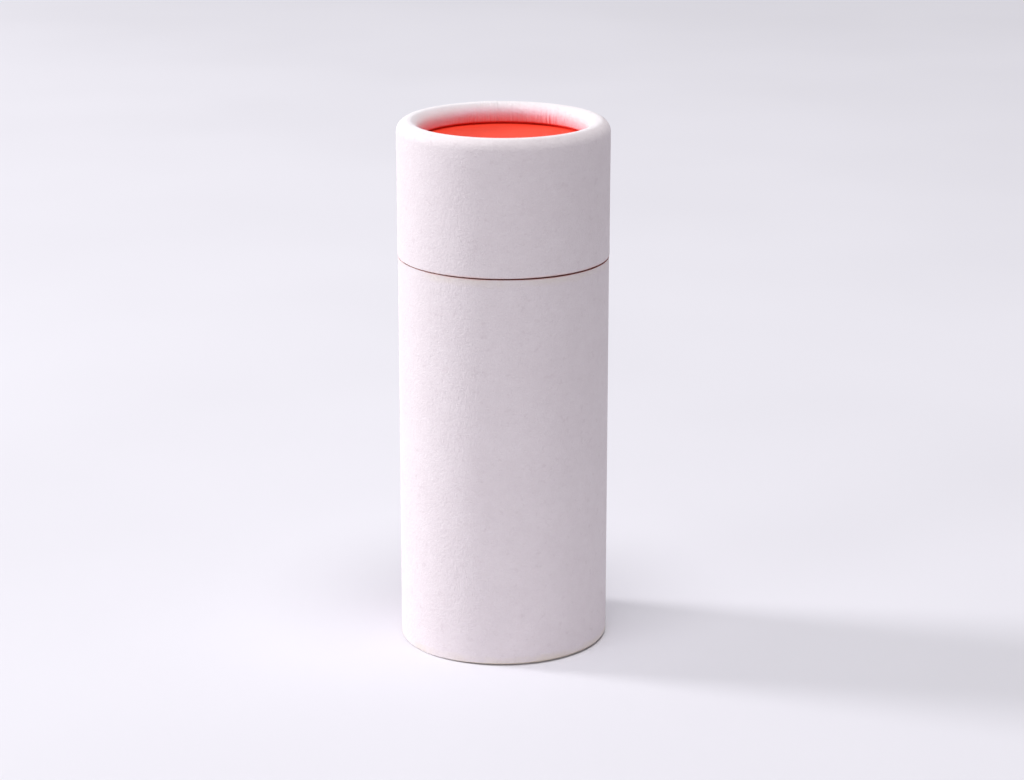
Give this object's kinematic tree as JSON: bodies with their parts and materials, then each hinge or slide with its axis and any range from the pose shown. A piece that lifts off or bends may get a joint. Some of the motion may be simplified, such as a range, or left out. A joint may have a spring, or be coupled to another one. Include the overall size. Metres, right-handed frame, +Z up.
{
  "type": "round paper box",
  "caption": "Round paper tube box with a lift-off lid on an inner neck, a rolled rim and a flat coloured disc set into the top.",
  "frame": {"origin": "on the tube's axis, in the plane of the foot that the box stands on", "axes": "+Z up along the tube's axis, the way the lid lifts; the box is round, so X and Y are free"},
  "size_m": [0.0502, 0.0502, 0.127],
  "materials": {
    "white_wrap": "matte",
    "red_lining": "matte",
    "red_disc": "matte",
    "base_board": "matte"
  },
  "bodies": {
    "box": {"body_tube": "white_wrap", "neck_tube": "red_lining", "base_disc": "base_board"},
    "lid": {"lid_tube": "white_wrap", "lid_disc": "red_disc"}
  },
  "joints": [
    {"name": "lid_lift", "type": "slide", "parent": "box", "child": "lid", "axis": [0, 0, 1], "range_m": [0, 0.035]}
  ]
}
